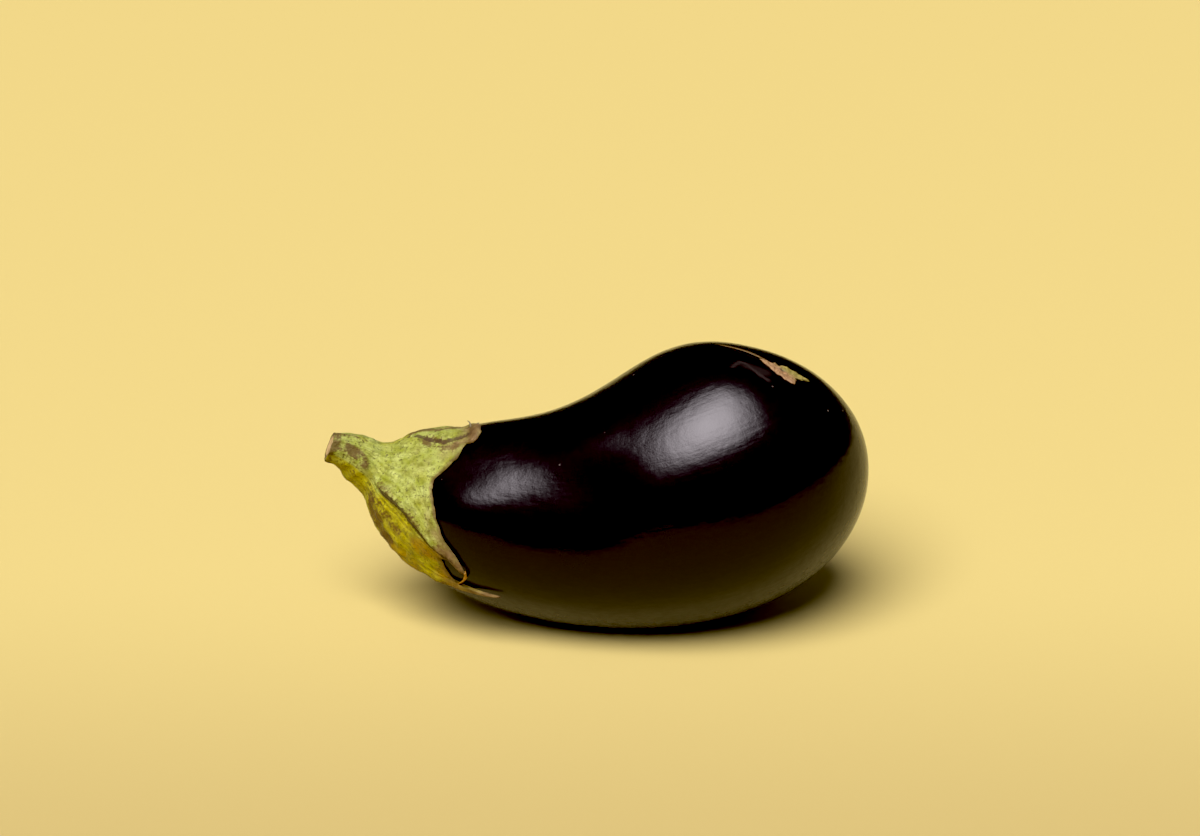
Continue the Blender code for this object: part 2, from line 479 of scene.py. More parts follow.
def make_calyx():
    """The stalk and its calyx, grown as one: a ribbed stalk that flares into six pointed sepals."""
    column = sepal_columns()
    root, edge = np.radians(column["root"]), np.radians(column["edge"])
    rib, lift, sepal = column["rib"], column["lift"], column["sepal"]
    ragged = np.stack([np.cos(edge), np.sin(edge), column["reach"]], axis=-1) * 30
    reach = column["reach"] + MARGIN_RAGGED * wander(ragged, 1.6, 11) * (1 - rib**8)

    def sepal_line(share):
        """The place on the skin of each column, at a share of the way out to its margin."""
        u = FLARE_END + (reach - FLARE_END) * share
        sway = np.clip((u - SWAY_START) / (reach - SWAY_START), 0, 1) ** column["lean"]
        return u, root + (edge - root) * sway

    def underside(share):
        curl = MARGIN_CURL * ramp(share, 0.84, 1.0) * (1 + wander(ragged, 7, 12))
        lip = TOP_LIP_CURL * (sepal == 0) * ramp(rib, 0.45, 0.7) * ramp(share, 0.80, 0.98)
        return LEAF_GAP + lift * share**3 + np.maximum(curl, 0) + lip

    def outer(share):
        thick = MARGIN_THICKNESS + (ROOT_THICKNESS - MARGIN_THICKNESS) * (1 - share) ** THINNING
        crest = RIB_RISE * rib**4 * (1 - 0.7 * share)
        veins = VEIN_RISE * np.cos(TURN * VEINS * rib) * (1 - 0.6 * share)
        u, around = sepal_line(share)
        base = skin(u, around)
        lumps = lumpy(base, LEAF_LUMPS) * (0.4 + 0.6 * (1 - share))
        lumps = lumps + leaf_relief(base) * (1 - ramp(share, 0.9, 1.0))
        tuck = MARGIN_THICKNESS * 0.75 * ramp(share, 0.97, 1.0)
        return over_skin(u, around, underside(share) + thick + crest + veins + lumps - tuck), base

    rings, bases, out, along, turned = [], [], [], [], []

    def lay(ring, base, outwards, u, around):
        rings.append(ring)
        bases.append(base)
        out.append(np.broadcast_to(outwards, root.shape))
        along.append(np.broadcast_to(u, root.shape))
        turned.append(np.degrees(around))

    stalk_length = STALK_RADII[-1][0]
    for inset, depth in STALK_LIP:
        ring = stalk_ring(depth, stalk_radius(0.0) * inset, root)[0]
        chipped = 0.10 * wander(ring, 1.5, 23) * ramp(inset, 0.7, 0.95)
        ring = ring + stalk_ring(0.0, 1.0, root)[1] * np.abs(chipped)[:, None]
        lay(ring, ring, 0.0, 0.0, root)
    distances = STALK_START + (stalk_length - STALK_START) * np.linspace(0, 1, STALK_RINGS) ** 1.2
    for distance in distances:
        ring, _, centre = stalk_ring(distance, stalk_radius(distance), root)
        bark = 0.16 * wander(ring, 3.0, 15) + 0.12 * wander(ring * (0.3, 1, 1), 1.6, 16)
        bark = bark * ramp(distance, 0.0, 2.0)
        ring = ring + unit(ring - centre) * bark[:, None]
        lay(ring, ring, 0.02 + 0.28 * distance / stalk_length, 0.0, root)
    top_ring = rings[-1]
    inward = stalk_ring(stalk_length, 1.0, root)[1]
    cap_ring, cap_base = outer(0.0)
    outward = skin_slopes(*sepal_line(0.0))[0]
    straight = FLARE_REACH * np.linalg.norm(cap_ring - top_ring, axis=-1, keepdims=True)
    flare = top_ring, top_ring + inward * straight, cap_ring - outward * straight, cap_ring
    for t in np.linspace(0, 1, FLARE_RINGS + 2)[1:-1]:
        ring = smooth_curve(t, flare)
        lumps = lumpy(ring, FLARE_LUMPS) * math.sin(math.pi * t)
        base = ring + (cap_base - cap_ring) * t
        ring = ring + unit(ring - ring.mean(axis=0)) * lumps[:, None]
        lay(ring, base, 0.3 + 0.15 * t, FLARE_END * t, root)
    for share in 1 - (1 - np.linspace(0, 1, LEAF_RINGS)) ** 1.15:
        ring, base = outer(share)
        u, around = sepal_line(share)
        lay(ring, base, 0.45 + 0.55 * share, u, around)
    for share in np.linspace(1, 0, UNDER_RINGS):
        u, around = sepal_line(share)
        lay(over_skin(u, around, underside(share)), skin(u, around), 0.45 + 0.55 * share, u, around)
    for u in CUP_RINGS:
        lay(over_skin(u, root, LEAF_GAP), skin(np.full_like(root, u), root), 0.4, u, root)
    rings, bases, out, along, turned = (np.array(part) for part in (rings, bases, out, along, turned))
    cut_centre = stalk_ring(STALK_LIP[0][1], 1.0, root)[2]
    across = np.repeat(rib[None], len(rings), axis=0)
    fibre = np.stack([out * 14, np.cos(root) * 12 + 0 * out, np.sin(root) * 12 + 0 * out], axis=-1)
    notes = {
        "fibre": fibre,
        "dry": dryness(out, across, sepal, bases),
        "stain": marked(bases, STAINS) * (0.95 + 0.3 * wander(bases, 2.5, 21)).clip(0, 1.3),
        "keel": marked(bases, KEELS),
        # How strongly each point is painted yellow for the floor's bounce light.
        "painted_bounce": painted_bounce_yellow(along, turned, bases),
        "orange": marked(bases, ORANGE),
    }
    return closed_stack("stalk_and_calyx", rings, cut_centre, rings[-1].mean(axis=0), notes)


def stalk_place(distance, around):
    """A point on the stalk's bark, at a distance from the cut end."""
    return stalk_ring(distance, stalk_radius(distance), np.radians([float(around)]))[0][0]


def on_stalk(*spots):
    return [stalk_place(*spot) for spot in spots]


def on_leaf(*places):
    return [skin(np.array(float(u)), np.radians(around)) for u, around in places]


# Marks on the stalk and leaf: a line of points, its half width in mm, and its strength.
STAINS = (
    (on_stalk(*((0.6, turn) for turn in range(0, 390, 30))), 2.4, 1.0),
    (on_stalk(*((1.9, turn) for turn in range(0, 390, 30))), 1.7, 0.75),
    (on_stalk((0.5, 44), (3, 45), (6, 47), (9, 51), (12.4, 60)), 2.9, 1.25),
    (on_stalk((4, 66), (9, 72), (12, 78)), 1.6, 0.5),
    (on_stalk((1.5, 95), (7, 100), (12, 104)), 1.4, 0.45),
    (on_stalk((2, 352), (6, 355), (10, 0)), 1.7, 0.55),
    (on_leaf((0.46, 331), (0.56, 336), (0.64, 341)), 4.6, 1.1),
    (on_leaf((0.58, 0), (0.66, 6), (0.76, 7)), 3.4, 0.95),
    (on_leaf((0.24, 92), (0.32, 104), (0.44, 110), (0.56, 114)), 3.6, 1.15),
    (on_leaf((0.40, 130), (0.55, 128), (0.70, 124), (0.86, 118), (1.0, 113)), 2.8, 0.9),
    (on_leaf((0.33, 64), (0.45, 67), (0.55, 70), (0.68, 75), (0.80, 82)), 2.4, 0.55),
    (on_leaf((0.88, 84), (0.98, 91)), 3.2, 0.7),
    (on_leaf((0.36, 88), (0.50, 92), (0.60, 94)), 1.8, 0.8),
    (on_leaf((0.45, 200), (0.60, 206)), 3.5, 0.6),
    (on_leaf((0.40, 262), (0.58, 252)), 3.0, 0.6),
)
FRONT_KEEL = (
    (0.36, 70),
    (0.52, 71),
    (0.60, 72),
    (0.67, 77),
    (0.74, 81),
    (0.82, 85),
    (0.87, 87),
    (0.95, 88),
)
KEELS = (
    (on_leaf(*FRONT_KEEL), 1.5, 1.0),
    (on_leaf(*TOP_FOLD), 1.1, 0.95),
    (on_leaf((0.50, 178), (0.75, 177), (0.95, 175)), 1.3, 0.7),
    (on_leaf((0.50, 237), (0.75, 240), (0.98, 243)), 1.3, 0.7),
    (on_leaf((0.50, 292), (0.70, 289), (0.88, 286)), 1.3, 0.7),
)
ORANGE = (
    (on_leaf((0.74, 92), (0.80, 92), (0.87, 91)), 4.2, 0.9),
    (on_leaf((0.90, 104), (1.0, 111)), 3.0, 0.8),
    (on_leaf((0.62, 116), (0.75, 116)), 4.0, 0.6),
)


def marked(points, marks):
    """How strongly each point is marked."""
    total = np.zeros(points.shape[:-1])
    for line, width, strength in marks:
        total = np.maximum(total, strength * near_line(points, line, width))
    return total


def dryness(out, rib, sepal, points):
    """How dry the leaf is: at the margins and most of all in the drawn-out tips."""
    margin = 0.8 * ramp(out, 0.945, 1.0)
    tip = ramp(out, 0.78, 0.97) * ramp(rib, 0.35, 0.9)
    dried_top = ramp(out, 0.80, 0.94) * ramp(rib, 0.3, 0.8) * (sepal == 0)
    dried = np.maximum(np.maximum(margin, tip), dried_top) + 0.10 * wander(points, 2.2, 25)
    return np.clip(dried, 0, 1) * ramp(out, 0.5, 0.7)


def painted_bounce_yellow(along, around, points):
    """How strongly the leaf is painted yellow, as a painted reflection of the yellow floor's bounce light:
    below the front keel, less towards the back.
    """
    keel = np.interp(along, (0, 0.15, 0.37, 0.60, 0.74, 0.87, 1.0), (84, 82, 71, 72, 80, 87, 92))
    bounce_yellow = ramp(around, keel - 3, keel + 7) * (1 - 0.6 * ramp(around, 215, 275))
    return np.clip(bounce_yellow + 0.12 * wander(points, 4, 26), 0, 1)


def tube(name, line, widths, depths, sides=14):
    """A closed strand along smooth control points: half widths across the skin, half depths off it."""
    shares = np.linspace(0, 1, 28)
    points = smooth_curve(shares[:, None], np.array(line))
    ways = unit(np.gradient(points, axis=0))
    across = unit(np.cross(ways, (0.2, -0.3, 1.0)))
    lift = np.cross(across, ways)
    around = np.linspace(0, TURN, sides, endpoint=False)
    half = np.interp(shares, np.linspace(0, 1, len(widths)), widths)[:, None, None]
    deep = np.interp(shares, np.linspace(0, 1, len(depths)), depths)[:, None, None]
    ring = across[:, None] * np.cos(around)[None, :, None] * half
    ring = ring + lift[:, None] * np.sin(around)[None, :, None] * deep
    rings = points[:, None] + ring
    return closed_stack(name, rings, points[0], points[-1], {})


def lifted(*spots):
    """Points at (along, around, height) over the skin."""
    return [over_skin(np.array(u), np.radians(a), np.array(h)) for u, a, h in spots]


def make_shreds():
    """The torn, dried shreds of the calyx: two hooks on the curled tip, and a thread across the slit."""
    return (
        tube(
            "tip_hook_long",
            lifted((0.842, 356, 1.4), (0.846, 349, 1.6), (0.846, 345, 3.2), (0.822, 345, 4.0)),
            (0.75, 0.42, 0.30, 0.12),
            (0.35, 0.25, 0.20, 0.10),
        ),
        tube(
            "tip_hook_short",
            lifted((0.880, 356, 1.8), (0.874, 350, 2.2), (0.880, 347, 3.2), (0.900, 347, 3.0)),
            (0.9, 0.5, 0.35, 0.15),
            (0.4, 0.28, 0.22, 0.10),
        ),
        tube(
            "slit_thread",
            lifted((1.020, 94.5, 1.0), (1.040, 99.0, 1.2), (1.015, 104.0, 1.0), (0.995, 109.5, 0.9)),
            (0.75, 0.62, 0.42, 0.36),
            (0.45, 0.40, 0.30, 0.28),
        ),
    )


def make_cut_pith():
    """The cut face of the stalk: pale pith inside the bark, with its ring of vessels."""
    around = np.linspace(0, TURN, PITH_SIDES, endpoint=False)
    shares = np.linspace(0, 1, 22)[1:]
    rings, radial = [], []
    inward = stalk_ring(0.0, 1.0, around)[1]
    for share in shares:
        ring = stalk_ring(PITH_FACE, stalk_radius(0.0) * PITH_SHARE * share, around)[0]
        rough = lumpy(ring, PITH_LUMPS)
        ridge = 0.10 * np.exp(-(((share - 0.72) / 0.08) ** 2)) - 0.16 * np.exp(-((share / 0.22) ** 2))
        rings.append(ring - inward * (rough + ridge)[:, None])
        radial.append(np.full(PITH_SIDES, share))
    for share in shares[::-3]:
        rings.append(stalk_ring(PITH_BACK, stalk_radius(0.0) * PITH_SHARE * share, around)[0])
        radial.append(np.full(PITH_SIDES, share))
    centre = rings[0].mean(axis=0) + inward * 0.02
    back = stalk_ring(PITH_BACK, 1.0, around)[2]
    return closed_stack("cut_pith", np.array(rings), centre, back, {"radial": np.array(radial)})


# The corky blossom scar: its outline as places along and around, from its pointed end round the back.
SCAR_OUTLINE = (
    (2.490, -2),
    (2.512, 2),
    (2.548, 7),
    (2.574, 10),
    (2.585, 14),
    (2.603, 23),
    (2.562, 20),
    (2.540, 18.6),
    (2.500, 21.5),
    (2.482, 18),
    (2.472, 12),
    (2.474, 7),
    (2.480, 2),
)
SCAR_CENTRE = (2.518, 10.5)
SCAR_SIDES = 150
SCAR_PER_ALONG = 60
SCAR_PER_DEGREE = 0.65
CORK_HEIGHT = 0.42
PIT_DEPTH = 0.30
# The dry streak beside it: places along and around, and heights in mm.
STREAK = ((2.31, -34, -0.15), (2.38, -22, 0.65), (2.44, -14, 0.95), (2.49, -8, 0.75), (2.506, 1, 0.2))


def make_blossom_scar():
    """A thin corky patch with a ragged outline and a small pit, where the blossom was."""
    outline = np.array(SCAR_OUTLINE) - SCAR_CENTRE
    closed = np.concatenate([outline, outline[:1]])
    steps = np.diff(closed, axis=0) * (SCAR_PER_ALONG, SCAR_PER_DEGREE)
    gone = np.concatenate([[0], np.cumsum(np.hypot(*steps.T))])
    spots = np.linspace(0, gone[-1], SCAR_SIDES, endpoint=False)
    edge = np.stack([np.interp(spots, gone, column) for column in closed.T], axis=-1)

    def ring(share, height):
        u, around = (np.array(SCAR_CENTRE) + edge * share).T
        return over_skin(u, np.radians(around), np.broadcast_to(height, u.shape))

    edge = edge * (1 + 0.07 * wander(ring(1.0, 0.0), 0.9, 41))[:, None]
    rings, pit = [], []
    for share in np.linspace(0, 1, 26)[1:]:
        flat = ring(share, 0.0)
        cork = CORK_HEIGHT + lumpy(flat, CORK_LUMPS)
        hollow = math.exp(-((share / 0.16) ** 2))
        height = (cork - PIT_DEPTH * hollow) * (1 - ramp(share, 0.9, 1.0) * 0.8)
        rings.append(ring(share, height))
        pit.append(np.full(SCAR_SIDES, hollow))
    for share in (0.98, 0.6, 0.2):
        rings.append(ring(share, -0.35))
        pit.append(np.zeros(SCAR_SIDES))
    olive = np.repeat(ramp(SCAR_CENTRE[0] + edge[:, 0], 2.50, 2.58)[None], len(rings), axis=0)
    notes = {"pit": np.array(pit), "olive": olive}
    top, under = rings[0].mean(axis=0), rings[-1].mean(axis=0)
    return closed_stack("blossom_scar", np.array(rings), top, under, notes)


def make_scar_streak():
    """A thin dry streak over the top of the fruit, that runs into the scar."""
    return tube(
        "scar_streak",
        lifted(*STREAK),
        (0.10, 0.30, 0.40, 0.50, 0.45),
        (0.10, 0.14, 0.16, 0.18, 0.15),
    )


# Tiny pale specks of the skin that are seen from the front, and how many more lie elsewhere.
SPECKS = ((1.664, 12), (1.427, 23), (0.741, 36), (2.386, 19), (2.545, 42), (2.646, 48))
MORE_SPECKS = 26
SPECK_LOWEST = 2.0


def make_specks():
    """Tiny pale specks of the skin, each a low dome."""
    chance = np.random.default_rng(51)
    spots = list(SPECKS)
    for _ in range(MORE_SPECKS):
        spots.append((chance.uniform(1.2, 2.9), chance.uniform(130, 340)))
    points, faces = [], []
    sides = 12
    around = np.linspace(0, TURN, sides, endpoint=False)
    for u, turned in spots:
        place = np.array(float(u)), np.radians(float(turned))
        centre = over_skin(*place, 0.0)
        along, normal = skin_slopes(*place)
        across = np.cross(normal, along)
        size = chance.uniform(0.22, 0.42)
        if centre[2] < SPECK_LOWEST:
            continue
        first = len(points)
        points.append(centre + normal * 0.12)
        for share, height in ((0.6, 0.09), (1.0, -0.10)):
            for angle in around:
                step = along * math.cos(angle) + across * math.sin(angle)
                points.append(centre + step * size * share + normal * height)
        points.append(centre - normal * 0.2)
        for j in range(sides):
            k = (j + 1) % sides
            inner, rim = first + 1, first + 1 + sides
            faces.append((first, inner + j, inner + k))
            faces.append((inner + j, rim + j, rim + k, inner + k))
            faces.append((rim + j, first + 1 + 2 * sides, rim + k))
    mesh = bpy.data.meshes.new("skin_specks")
    mesh.from_pydata(seated(points).tolist(), [], faces)
    mesh.shade_smooth()
    piece = bpy.data.objects.new("skin_specks", mesh)
    bpy.context.scene.collection.objects.link(piece)
    return piece


def shade(hex_colour):
    """An sRGB hex colour in linear values, with full alpha."""
    parts = [int(hex_colour[i : i + 2], 16) / 255 for i in (1, 3, 5)]
    linear = [p / 12.92 if p <= 0.04045 else ((p + 0.055) / 1.055) ** 2.4 for p in parts]
    return (*linear, 1)


def feed(node, sockets):
    """Gives each named input of a node a value, or a link from another node's output."""
    for name, value in dict(sockets).items():
        if isinstance(value, bpy.types.NodeSocket):
            node.id_data.links.new(value, node.inputs[name])
        else:
            node.inputs[name].default_value = value


def add(tree, kind, sockets=(), **settings):
    """Adds a node: settings are its own choices, and sockets feed its inputs."""
    made = tree.nodes.new("ShaderNode" + kind)
    for name, value in settings.items():
        setattr(made, name, value)
    feed(made, sockets)
    return made


def blank_material(name):
    """A new material, with its node tree, its shader, and the place on the object."""
    material = bpy.data.materials.new(name)
    material.use_nodes = True
    tree = material.node_tree
    place = add(tree, "TexCoord").outputs["Object"]
    return material, tree, tree.nodes["Principled BSDF"], place


def per_metre(size_mm):
    """The scale that gives a pattern in metres features of that many millimetres."""
    return 1 / (size_mm * MM)


def waxy_aubergine_skin():
    """Aubergine skin: a nearly black purple under a glossy waxy cuticle."""
    material, tree, shader, place = blank_material("waxy_aubergine_skin")
    grain = add(tree, "Attribute", attribute_name="grain").outputs["Vector"]
    scuff = add(tree, "Attribute", attribute_name="scuff").outputs["Fac"]
    # Broad clouds of colour about 18 mm across.
    clouds = add(tree, "TexNoise", {"Vector": place, "Scale": per_metre(18), "Detail": 3})
    body = add(
        tree, "Mix", {0: clouds.outputs["Fac"], 6: shade("#0d0507"), 7: shade("#14080c")}, data_type="RGBA"
    )
    # Uneven wax about 3 mm across, faint creases 1.4 mm wide and 9 mm long, and pores, which are too
    # fine to show, drawn 0.6 mm across.
    wax = add(tree, "TexNoise", {"Vector": place, "Scale": per_metre(3), "Detail": 3})
    long_grain = add(tree, "Mapping", {"Vector": grain, "Scale": (1 / 7, 1, 1)})
    crease = add(tree, "TexNoise", {"Vector": long_grain.outputs["Vector"], "Scale": 0.7, "Detail": 3})
    pores = add(tree, "TexNoise", {"Vector": place, "Scale": per_metre(0.6), "Detail": 2})
    scuffed = add(tree, "Mix", {0: scuff, 6: body.outputs[2], 7: shade("#3a302e")}, data_type="RGBA")
    rough = add(
        tree,
        "MapRange",
        {"Value": wax.outputs["Fac"], "From Min": 0.35, "From Max": 0.65, "To Min": 0.36, "To Max": 0.46},
    )
    rougher = add(
        tree, "Math", {0: scuff, 1: 0.25, 2: rough.outputs["Result"]}, operation="MULTIPLY_ADD"
    )
    relief = ((wax, 0.17, 0.0005), (crease, 0.09, 0.0005), (pores, 0.10, 0.0002))
    normal = None
    for pattern, strength, depth in relief:
        bump = add(
            tree,
            "Bump",
            {"Height": pattern.outputs["Fac"], "Strength": strength, "Distance": depth},
        )
        if normal is not None:
            feed(bump, {"Normal": normal})
        normal = bump.outputs["Normal"]
    feed(
        shader,
        {
            "Base Color": scuffed.outputs[2],
            "Roughness": rougher.outputs[0],
            "Normal": normal,
            "Coat Normal": normal,
            "IOR": 1.4,
            "Specular IOR Level": 0.06,
            "Coat Weight": 0.7,
            "Coat Roughness": 0.14,
            "Coat IOR": 1.4,
        },
    )
    return material


def felted_calyx():
    """Calyx leaf: green, felted with short hairs, painted yellow below its front keel for the floor's bounce
    light, bruised brown, dry at its tips.
    """
    material, tree, shader, place = blank_material("felted_calyx_leaf")
    fibre = add(tree, "Attribute", attribute_name="fibre").outputs["Vector"]
    notes = "dry", "stain", "keel", "painted_bounce", "orange"
    dry, stain, keel, painted_bounce, orange = (
        add(tree, "Attribute", attribute_name=note).outputs["Fac"] for note in notes
    )
    # Mottling 3.5 mm across, veins about 1.5 mm apart down the leaf, and the felt, whose hairs are too
    # fine to show, in tufts of 0.9 mm.
    mottle = add(tree, "TexNoise", {"Vector": place, "Scale": per_metre(3.5), "Detail": 5})
    felt = add(tree, "TexNoise", {"Vector": place, "Scale": per_metre(0.9), "Detail": 3})
    veins = add(tree, "TexNoise", {"Vector": fibre, "Scale": 1.4, "Detail": 4})
    spread = add(tree, "MapRange", {"Value": mottle.outputs["Fac"], "From Min": 0.35, "From Max": 0.65})
    green = add(
        tree,
        "Mix",
        {0: spread.outputs["Result"], 6: shade("#90942f"), 7: shade("#babd68")},
        data_type="RGBA",
    )
    # Painted bounce light: a yellow that stands in for the yellow floor's light on the leaf below its front
    # keel.
    bounce_yellow = add(
        tree,
        "Mix",
        {0: spread.outputs["Result"], 6: shade("#958608"), 7: shade("#b6ab1e")},
        data_type="RGBA",
    )
    leaf = add(tree, "Mix", {0: painted_bounce, 6: green.outputs[2], 7: bounce_yellow.outputs[2]}, data_type="RGBA")
    orange_share = add(tree, "Math", {0: orange, 1: 0.6}, operation="MULTIPLY")
    vein_share = add(
        tree,
        "MapRange",
        {"Value": veins.outputs["Fac"], "From Min": 0.50, "From Max": 0.62, "To Max": 0.42},
    )
    # A net of fine veins whose meshes are about 2.4 mm across, clear in some places and faint in others.
    bent = add(tree, "Mix", {0: 0.0012, 4: place, 5: mottle.outputs["Color"]}, data_type="VECTOR")
    net = add(
        tree, "TexVoronoi", {"Vector": bent.outputs[1], "Scale": per_metre(2.4)}, feature="DISTANCE_TO_EDGE"
    )
    net_lines = add(
        tree,
        "MapRange",
        {"Value": net.outputs["Distance"], "From Min": 0.02, "From Max": 0.10, "To Min": 0.3, "To Max": 0.0},
    )
    net_share = add(
        tree, "Math", {0: net_lines.outputs["Result"], 1: spread.outputs["Result"]}, operation="MULTIPLY"
    )
    tuft_share = add(
        tree, "MapRange", {"Value": felt.outputs["Fac"], "From Min": 0.56, "From Max": 0.68, "To Max": 0.6}
    )
    # Dull olive-brown blotches about 6 mm across, and dark flecks of 1.6 mm.
    dull = add(tree, "TexNoise", {"Vector": place, "Scale": per_metre(6), "Detail": 6, "Roughness": 0.65})
    dull_share = add(
        tree, "MapRange", {"Value": dull.outputs["Fac"], "From Min": 0.50, "From Max": 0.68, "To Max": 0.45}
    )
    fleck = add(tree, "TexNoise", {"Vector": place, "Scale": per_metre(1.6), "Detail": 4, "Roughness": 0.6})
    fleck_share = add(
        tree,
        "MapRange",
        {"Value": fleck.outputs["Fac"], "From Min": 0.62, "From Max": 0.70, "To Max": 0.75},
    )
    # Bruises and keels have edges broken up by the felt.
    broken = add(tree, "Math", {0: felt.outputs["Fac"], 1: 0.5}, operation="SUBTRACT")
    stain_edge = add(tree, "Math", {0: broken.outputs[0], 1: 2.2, 2: stain}, operation="MULTIPLY_ADD")
    stain_share = add(
        tree,
        "MapRange",
        {"Value": stain_edge.outputs[0], "From Min": 0.25, "From Max": 0.95, "To Max": 0.85},
    )
    dry_tone = add(
        tree,
        "Mix",
        {0: spread.outputs["Result"], 6: shade("#59401f"), 7: shade("#856a42")},
        data_type="RGBA",
    )
    keel_edge = add(tree, "Math", {0: broken.outputs[0], 1: 1.4, 2: keel}, operation="MULTIPLY_ADD")
    keel_share = add(
        tree, "MapRange", {"Value": keel_edge.outputs[0], "From Min": 0.35, "From Max": 0.8, "To Max": 0.85}
    )
    tone = leaf.outputs[2]
    for share, colour in (
        (orange_share.outputs[0], shade("#96590c")),
        (vein_share.outputs["Result"], shade("#686b1e")),
        (net_share.outputs[0], shade("#5f6020")),
        (tuft_share.outputs["Result"], shade("#4b4519")),
        (dull_share.outputs["Result"], shade("#75702a")),
        (fleck_share.outputs["Result"], shade("#3c2f14")),
        (stain_share.outputs["Result"], shade("#583c1a")),
        (dry, dry_tone.outputs[2]),
        (keel_share.outputs["Result"], shade("#44301a")),
    ):
        layer = add(tree, "Mix", {0: share, 6: tone, 7: colour}, data_type="RGBA")
        tone = layer.outputs[2]
    coarse = add(tree, "Bump", {"Height": veins.outputs["Fac"], "Strength": 0.7, "Distance": 0.0005})
    fine = add(
        tree,
        "Bump",
        {
            "Height": felt.outputs["Fac"],
            "Strength": 0.8,
            "Distance": 0.0004,
            "Normal": coarse.outputs["Normal"],
        },
    )
    feed(
        shader,
        {
            "Base Color": tone,
            "Normal": fine.outputs["Normal"],
            "Roughness": 0.66,
            "Specular IOR Level": 0.2,
            "Sheen Weight": 0.04,
            "Sheen Roughness": 0.5,
        },
    )
    return material


def dried_shred(name, dark, light):
    """A dried shred: matt, and blotched between a dark and a light tone."""
    material, tree, shader, place = blank_material(name)
    # Blotches about 1 mm across.
    blotch = add(tree, "TexNoise", {"Vector": place, "Scale": per_metre(1.0), "Detail": 3})
    tone = add(
        tree, "Mix", {0: blotch.outputs["Fac"], 6: shade(dark), 7: shade(light)}, data_type="RGBA"
    )
    bump = add(tree, "Bump", {"Height": blotch.outputs["Fac"], "Strength": 0.5, "Distance": 0.0002})
    feed(shader, {"Base Color": tone.outputs[2], "Normal": bump.outputs["Normal"], "Roughness": 0.55})
    return material


def cut_pith_face():
    """Cut stalk: pale dry pith, browned towards the bark."""
    material, tree, shader, place = blank_material("cut_stalk_pith")
    radial = add(tree, "Attribute", attribute_name="radial").outputs["Fac"]
    # Pith cells, drawn 0.5 mm across so that they show, and blotches of 2 mm.
    cells = add(tree, "TexNoise", {"Vector": place, "Scale": per_metre(0.5), "Detail": 3})
    blotch = add(tree, "TexNoise", {"Vector": place, "Scale": per_metre(2), "Detail": 3})
    pith = add(
        tree, "Mix", {0: blotch.outputs["Fac"], 6: shade("#a5865a"), 7: shade("#d2b384")}, data_type="RGBA"
    )
    uneven = add(tree, "Math", {0: cells.outputs["Fac"], 1: 0.25, 2: radial}, operation="MULTIPLY_ADD")
    browned = add(
        tree, "MapRange", {"Value": uneven.outputs[0], "From Min": 0.86, "From Max": 1.08, "To Max": 0.9}
    )
    tone = add(
        tree,
        "Mix",
        {0: browned.outputs["Result"], 6: pith.outputs[2], 7: shade("#5d4322")},
        data_type="RGBA",
    )
    bump = add(tree, "Bump", {"Height": cells.outputs["Fac"], "Strength": 0.6, "Distance": 0.0002})
    feed(shader, {"Base Color": tone.outputs[2], "Normal": bump.outputs["Normal"], "Roughness": 0.8})
    return material


def corky_scar():
    """Corky scar: rough tan cork over the skin, olive at its far side, with a dark pit."""
    material, tree, shader, place = blank_material("corky_blossom_scar")
    pit = add(tree, "Attribute", attribute_name="pit").outputs["Fac"]
    olive = add(tree, "Attribute", attribute_name="olive").outputs["Fac"]
    # Cork in crumbs about 0.8 mm across.
    crumbs = add(tree, "TexNoise", {"Vector": place, "Scale": per_metre(0.8), "Detail": 4})
    cork = add(
        tree, "Mix", {0: crumbs.outputs["Fac"], 6: shade("#5c3a1c"), 7: shade("#b58b5c")}, data_type="RGBA"
    )
    grown = add(
        tree, "Mix", {0: crumbs.outputs["Fac"], 6: shade("#5a4a16"), 7: shade("#ab9a48")}, data_type="RGBA"
    )
    skinned = add(tree, "Mix", {0: olive, 6: cork.outputs[2], 7: grown.outputs[2]}, data_type="RGBA")
    tone = add(tree, "Mix", {0: pit, 6: skinned.outputs[2], 7: shade("#2a160c")}, data_type="RGBA")
    bump = add(tree, "Bump", {"Height": crumbs.outputs["Fac"], "Strength": 0.7, "Distance": 0.0003})
    feed(shader, {"Base Color": tone.outputs[2], "Normal": bump.outputs["Normal"], "Roughness": 0.7})
    return material


def pale_speck():
    """A corky speck on the skin: grey-tan."""
    material, tree, shader, place = blank_material("pale_skin_speck")
    # Unevenness about 0.3 mm across.
    uneven = add(tree, "TexNoise", {"Vector": place, "Scale": per_metre(0.3), "Detail": 2})
    tone = add(
        tree, "Mix", {0: uneven.outputs["Fac"], 6: shade("#453c34"), 7: shade("#6b6157")}, data_type="RGBA"
    )
    feed(shader, {"Base Color": tone.outputs[2], "Roughness": 0.6})
    return material


